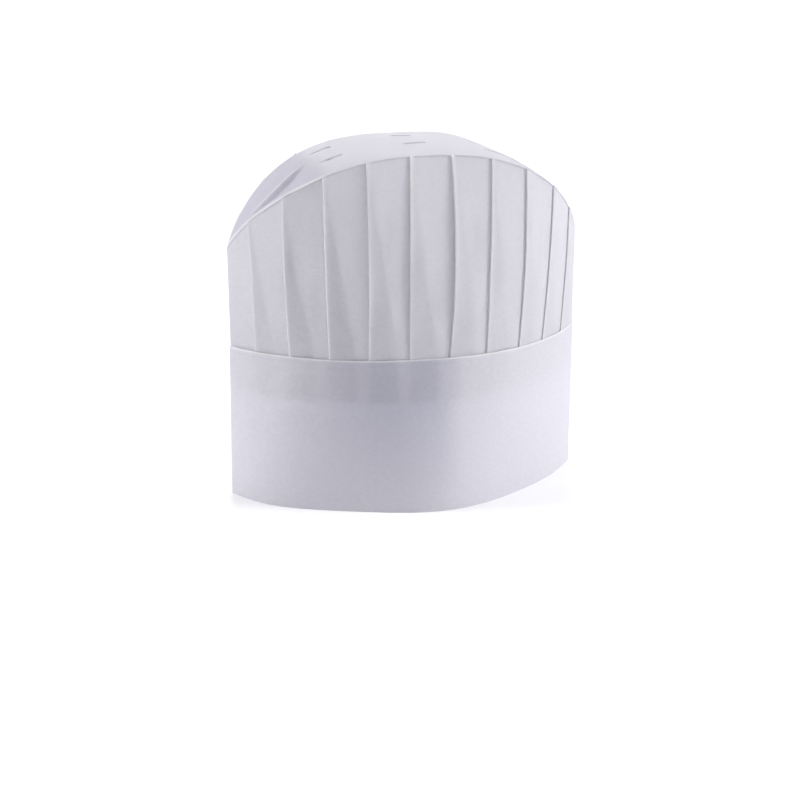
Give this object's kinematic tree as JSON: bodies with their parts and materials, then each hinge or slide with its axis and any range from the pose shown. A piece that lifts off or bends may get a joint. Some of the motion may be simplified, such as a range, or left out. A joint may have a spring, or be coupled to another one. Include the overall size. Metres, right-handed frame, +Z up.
{
  "type": "disposable chef hat",
  "caption": "Tall chef hat of thin white non-woven cloth: plain headband, knife-pleated side wall and an arched top strip with vent slits.",
  "frame": {"origin": "on the surface that the hat stands on, under the middle of the hat", "axes": "+Z up, +X along the hat from one flat-fold crease to the other, -Y the hat's front"},
  "size_m": [0.247, 0.1294, 0.2423],
  "materials": {
    "nonwoven_cloth": "thin spunbonded non-woven cloth, matt, slightly see-through, cool white"
  },
  "bodies": {
    "root": {"headband": "nonwoven_cloth", "pleated_crown": "nonwoven_cloth", "top_strip": "nonwoven_cloth"}
  },
  "joints": []
}
